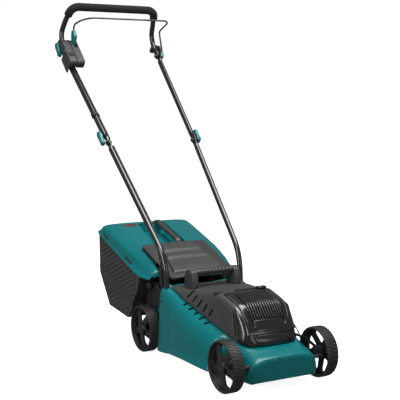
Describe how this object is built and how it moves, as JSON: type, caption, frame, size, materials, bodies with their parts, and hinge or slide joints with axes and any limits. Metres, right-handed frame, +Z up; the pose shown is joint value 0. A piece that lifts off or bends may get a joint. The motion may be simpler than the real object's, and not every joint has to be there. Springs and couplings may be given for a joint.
{
  "type": "push lawn mower",
  "caption": "Battery push lawn mower with a moulded deck, open-spoke wheels, ribbed battery lid, rear grass box, folding tube handle, bail bar and central height lever.",
  "frame": {"origin": "bottom centre of the bounding box, on the ground under the middle of the overall length", "axes": "+Z up, -Y the driving direction, X across; X = 0 is the plane between the wheels"},
  "size_m": [0.434, 1.2176, 1.163],
  "materials": {
    "teal_plastic": "glossy moulded",
    "grey_plastic": "fine textured",
    "black_plastic": "satin moulded",
    "smoked_window": "smoked polycarbonate",
    "wheel_plastic": "satin moulded",
    "black_paint": "gloss powder coat",
    "steel": "zinc plated",
    "foam": "soft foam",
    "teal_lever": "moulded",
    "indicator": "translucent brown",
    "cable_jacket": "smooth jacket"
  },
  "bodies": {
    "deck": {"deck_shell": "teal_plastic", "motor_cover": "grey_plastic", "battery_tray": "black_plastic", "battery_pack_right": "black_plastic", "battery_pack_left": "black_plastic", "controller_box": "black_plastic", "motor_can": "steel", "lid_pin": "steel", "height_quadrant": "black_plastic", "flap_pin": "steel", "flap_spring": "steel", "lower_tube_right": "black_paint", "lower_tube_left": "black_paint", "tube_bolt_right": "steel", "tube_bolt_left": "steel", "cable_low": "cable_jacket", "cable_boot": "black_plastic"},
    "battery_lid": {"battery_lid": "grey_plastic", "lid_window": "smoked_window"},
    "cutter": {"rotor": "steel", "blade_holder": "black_plastic", "blade": "steel", "blade_bolt": "steel"},
    "rear_crank": {"rear_axle": "steel", "height_lever": "steel", "height_knob": "black_plastic"},
    "front_crank": {"front_axle": "steel"},
    "link": {"link_rod": "steel"},
    "rear_flap": {"rear_flap": "grey_plastic"},
    "grass_box": {"grass_basket": "black_plastic", "grass_lid": "teal_plastic", "box_handle": "grey_plastic"},
    "fill_indicator": {"fill_indicator": "indicator"},
    "mid_handle": {"mid_tube_right": "black_paint", "mid_tube_left": "black_paint", "lower_clamp_bolt_right": "steel", "lower_clamp_bolt_left": "steel", "cable_mid": "cable_jacket", "cable_clip": "black_plastic"},
    "upper_handle": {"upper_tube": "black_paint", "grip_sleeve": "foam", "switch_box": "grey_plastic", "bail_bracket": "black_plastic", "upper_clamp_bolt_right": "steel", "upper_clamp_bolt_left": "steel"},
    "bail": {"bail_rod": "black_paint", "bail_paddle": "teal_lever"},
    "start_button": {"start_button": "black_plastic"},
    "front_wheel_right": {"front_wheel_right": "wheel_plastic", "front_hub_cap_right": "wheel_plastic"},
    "front_wheel_left": {"front_wheel_left": "wheel_plastic", "front_hub_cap_left": "wheel_plastic"},
    "rear_wheel_right": {"rear_wheel_right": "wheel_plastic", "rear_hub_cap_right": "wheel_plastic"},
    "rear_wheel_left": {"rear_wheel_left": "wheel_plastic", "rear_hub_cap_left": "wheel_plastic"},
    "lower_cam_right": {"lower_cam_lever_right": "teal_lever"},
    "lower_cam_left": {"lower_cam_lever_left": "teal_lever"},
    "upper_cam_right": {"upper_cam_lever_right": "teal_lever"},
    "upper_cam_left": {"upper_cam_lever_left": "teal_lever"}
  },
  "joints": [
    {"name": "height_adjust", "type": "hinge", "parent": "deck", "child": "rear_crank", "pos_m": [0, -0.06885, 0.075], "axis": [1, 0, 0], "range_deg": [0, 28]},
    {"name": "front_height", "type": "hinge", "parent": "deck", "child": "front_crank", "pos_m": [0, -0.57385, 0.075], "axis": [1, 0, 0], "range_deg": [0, 28]},
    {"name": "link_pivot", "type": "hinge", "parent": "rear_crank", "child": "link", "pos_m": [0, -0.06885, 0.097], "axis": [1, 0, 0], "range_deg": [-28, 0]},
    {"name": "front_wheel_right_spin", "type": "hinge", "parent": "front_crank", "child": "front_wheel_right", "pos_m": [-0.16, -0.53385, 0.075], "axis": [1, 0, 0], "continuous": true},
    {"name": "front_wheel_left_spin", "type": "hinge", "parent": "front_crank", "child": "front_wheel_left", "pos_m": [0.16, -0.53385, 0.075], "axis": [1, 0, 0], "continuous": true},
    {"name": "rear_wheel_right_spin", "type": "hinge", "parent": "rear_crank", "child": "rear_wheel_right", "pos_m": [-0.16, -0.02885, 0.075], "axis": [1, 0, 0], "continuous": true},
    {"name": "rear_wheel_left_spin", "type": "hinge", "parent": "rear_crank", "child": "rear_wheel_left", "pos_m": [0.16, -0.02885, 0.075], "axis": [1, 0, 0], "continuous": true},
    {"name": "blade_spin", "type": "hinge", "parent": "deck", "child": "cutter", "pos_m": [0, -0.31885, 0.06], "axis": [0, 0, 1], "continuous": true},
    {"name": "battery_lid_hinge", "type": "hinge", "parent": "deck", "child": "battery_lid", "pos_m": [0, -0.38485, 0.252], "axis": [-1, 0, 0], "range_deg": [0, 80]},
    {"name": "rear_flap_hinge", "type": "hinge", "parent": "deck", "child": "rear_flap", "pos_m": [0, -0.12985, 0.252], "axis": [1, 0, 0], "range_deg": [0, 75], "stiffness_Nm_per_rad": 0.3, "springref_deg": -28.65},
    {"name": "grass_box_lift", "type": "slide", "parent": "deck", "child": "grass_box", "axis": [0, 0.9659, 0.2588], "range_m": [0, 0.3]},
    {"name": "fill_indicator_hinge", "type": "hinge", "parent": "grass_box", "child": "fill_indicator", "pos_m": [-0.079, 0.26795, 0.374], "axis": [-1, 0, 0], "range_deg": [0, 30]},
    {"name": "lower_fold", "type": "hinge", "parent": "deck", "child": "mid_handle", "pos_m": [0, 0.23215, 0.667], "axis": [1, 0, 0], "range_deg": [0, 140]},
    {"name": "upper_fold", "type": "hinge", "parent": "mid_handle", "child": "upper_handle", "pos_m": [0, 0.56115, 0.977], "axis": [-1, 0, 0], "range_deg": [0, 130]},
    {"name": "lower_cam_right_hinge", "type": "hinge", "parent": "mid_handle", "child": "lower_cam_right", "pos_m": [-0.1865, 0.23215, 0.667], "axis": [0, -0.6858, 0.7278], "range_deg": [0, 110]},
    {"name": "lower_cam_left_hinge", "type": "hinge", "parent": "mid_handle", "child": "lower_cam_left", "pos_m": [0.1865, 0.23215, 0.667], "axis": [0, 0.6858, -0.7278], "range_deg": [0, 110]},
    {"name": "upper_cam_right_hinge", "type": "hinge", "parent": "upper_handle", "child": "upper_cam_right", "pos_m": [-0.209, 0.56115, 0.977], "axis": [0, -0.815, 0.5795], "range_deg": [0, 110]},
    {"name": "upper_cam_left_hinge", "type": "hinge", "parent": "upper_handle", "child": "upper_cam_left", "pos_m": [0.209, 0.56115, 0.977], "axis": [0, 0.815, -0.5795], "range_deg": [0, 110]},
    {"name": "bail_hinge", "type": "hinge", "parent": "upper_handle", "child": "bail", "pos_m": [0, 0.55043, 0.99713], "axis": [-1, 0, 0], "range_deg": [0, 22], "stiffness_Nm_per_rad": 0.8, "springref_deg": -17.19},
    {"name": "start_button_press", "type": "slide", "parent": "upper_handle", "child": "start_button", "axis": [0, 0.6858, -0.7278], "range_m": [0, 0.004], "stiffness_N_per_m": 300, "springref_m": -0.002}
  ],
  "couplings": [
    {"joint": "front_height", "follows": "height_adjust", "ratio": 1},
    {"joint": "link_pivot", "follows": "height_adjust", "ratio": -1}
  ]
}
